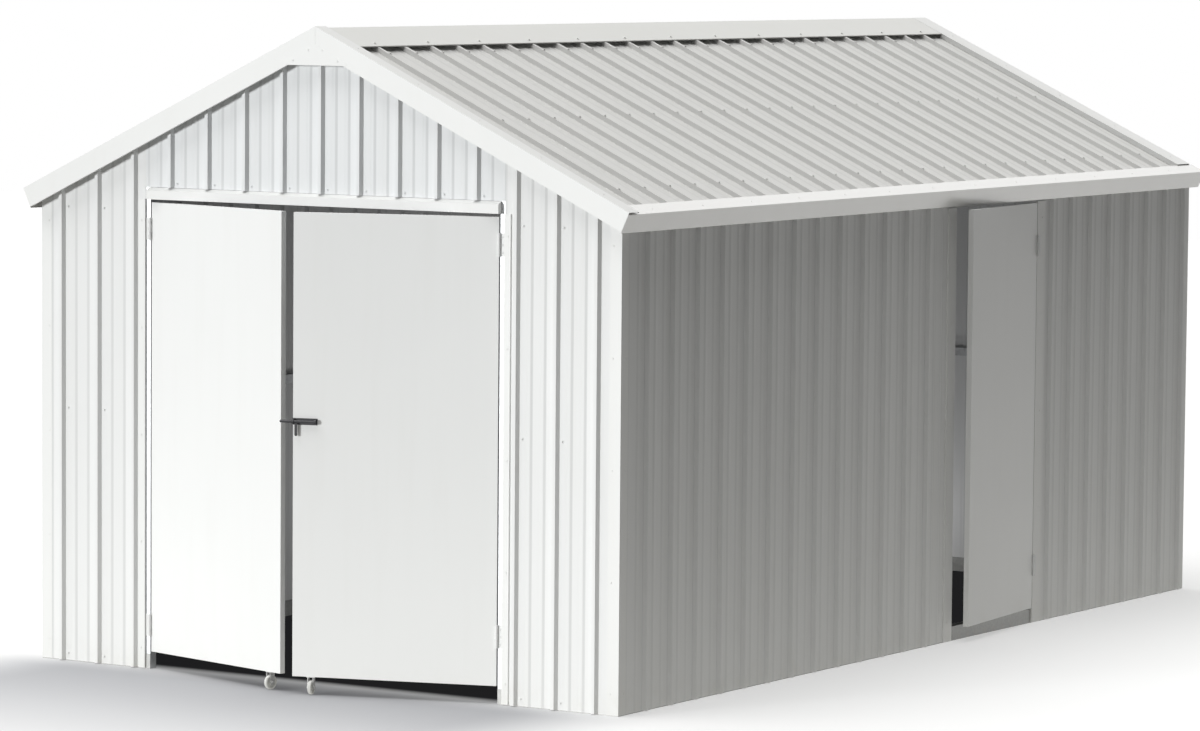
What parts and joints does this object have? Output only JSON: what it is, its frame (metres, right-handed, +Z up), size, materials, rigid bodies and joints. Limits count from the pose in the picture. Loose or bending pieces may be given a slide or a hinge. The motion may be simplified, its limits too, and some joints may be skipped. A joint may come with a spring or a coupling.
{
  "type": "metal garage",
  "caption": "Gable-roofed metal garage in white ribbed steel with side-hung double front doors on casters, a pad bolt and a side door.",
  "frame": {"origin": "centre of the floor plan, on the ground", "axes": "+X to the garage's right seen from the front, +Y to the rear, +Z up; the front doors face -Y"},
  "size_m": [3.153, 5.5557, 2.7998],
  "materials": {
    "white_sheet": "satin",
    "white_trim": "satin",
    "roof_sheet": "satin",
    "leaf_paint": "satin",
    "frame_steel": "satin",
    "zinc_hardware": "satin",
    "black_steel": "satin",
    "wheel_grey": "matte"
  },
  "bodies": {
    "building": {"base_frame": "frame_steel", "corner_posts": "frame_steel", "door_posts": "frame_steel", "wall_plates": "frame_steel", "rafters": "frame_steel", "purlins": "frame_steel", "girts": "frame_steel", "front_lintel": "frame_steel", "front_wall_left": "white_sheet", "front_wall_right": "white_sheet", "front_gable": "white_sheet", "left_wall": "white_sheet", "right_wall_front": "white_sheet", "right_wall_rear": "white_sheet", "rear_wall": "white_sheet", "front_corner_flashings": "white_trim", "rear_corner_flashings": "white_trim", "front_jambs": "white_trim", "door_head": "white_trim", "side_jambs": "white_trim", "side_door_head": "white_trim", "roof_left": "roof_sheet", "roof_right": "roof_sheet", "ridge_cap": "roof_sheet", "front_barge": "white_trim", "rear_barge": "white_trim", "apex_plate": "white_trim", "left_fascia": "white_trim", "right_fascia": "white_trim", "hinge_posts": "leaf_paint"},
    "left_door": {"left_leaf": "leaf_paint", "left_leaf_rails": "frame_steel", "left_hinge_flaps": "leaf_paint", "left_caster_fork": "zinc_hardware"},
    "right_door": {"right_leaf": "leaf_paint", "right_leaf_rails": "frame_steel", "right_hinge_flaps": "leaf_paint", "bolt_guide": "black_steel", "right_caster_fork": "zinc_hardware"},
    "side_door": {"side_leaf": "leaf_paint", "side_leaf_rails": "frame_steel", "side_hinge_flaps": "leaf_paint"},
    "bolt": {"pad_bolt": "black_steel"},
    "left_wheel": {"left_caster_wheel": "wheel_grey"},
    "right_wheel": {"right_caster_wheel": "wheel_grey"}
  },
  "joints": [
    {"name": "left_door_hinge", "type": "hinge", "parent": "building", "child": "left_door", "pos_m": [-0.904, -2.6153, 1.0465], "axis": [0, 0, -1], "range_deg": [-15, 95]},
    {"name": "right_door_hinge", "type": "hinge", "parent": "building", "child": "right_door", "pos_m": [0.904, -2.6153, 1.0465], "axis": [0, 0, 1], "range_deg": [-16.5, 93.5]},
    {"name": "side_door_hinge", "type": "hinge", "parent": "building", "child": "side_door", "pos_m": [1.5145, 1.003, 1.02], "axis": [0, 0, 1], "range_deg": [-6, 104]},
    {"name": "bolt_slide", "type": "slide", "parent": "right_door", "child": "bolt", "axis": [0.9588, 0.284, 0], "range_m": [0, 0.074]},
    {"name": "left_caster_axle", "type": "hinge", "parent": "left_door", "child": "left_wheel", "pos_m": [-0.11642, -2.80563, 0.031], "axis": [0.9659, -0.2588, 0], "continuous": true},
    {"name": "right_caster_axle", "type": "hinge", "parent": "right_door", "child": "right_wheel", "pos_m": [0.11209, -2.82902, 0.031], "axis": [-0.9588, -0.284, 0], "continuous": true}
  ]
}
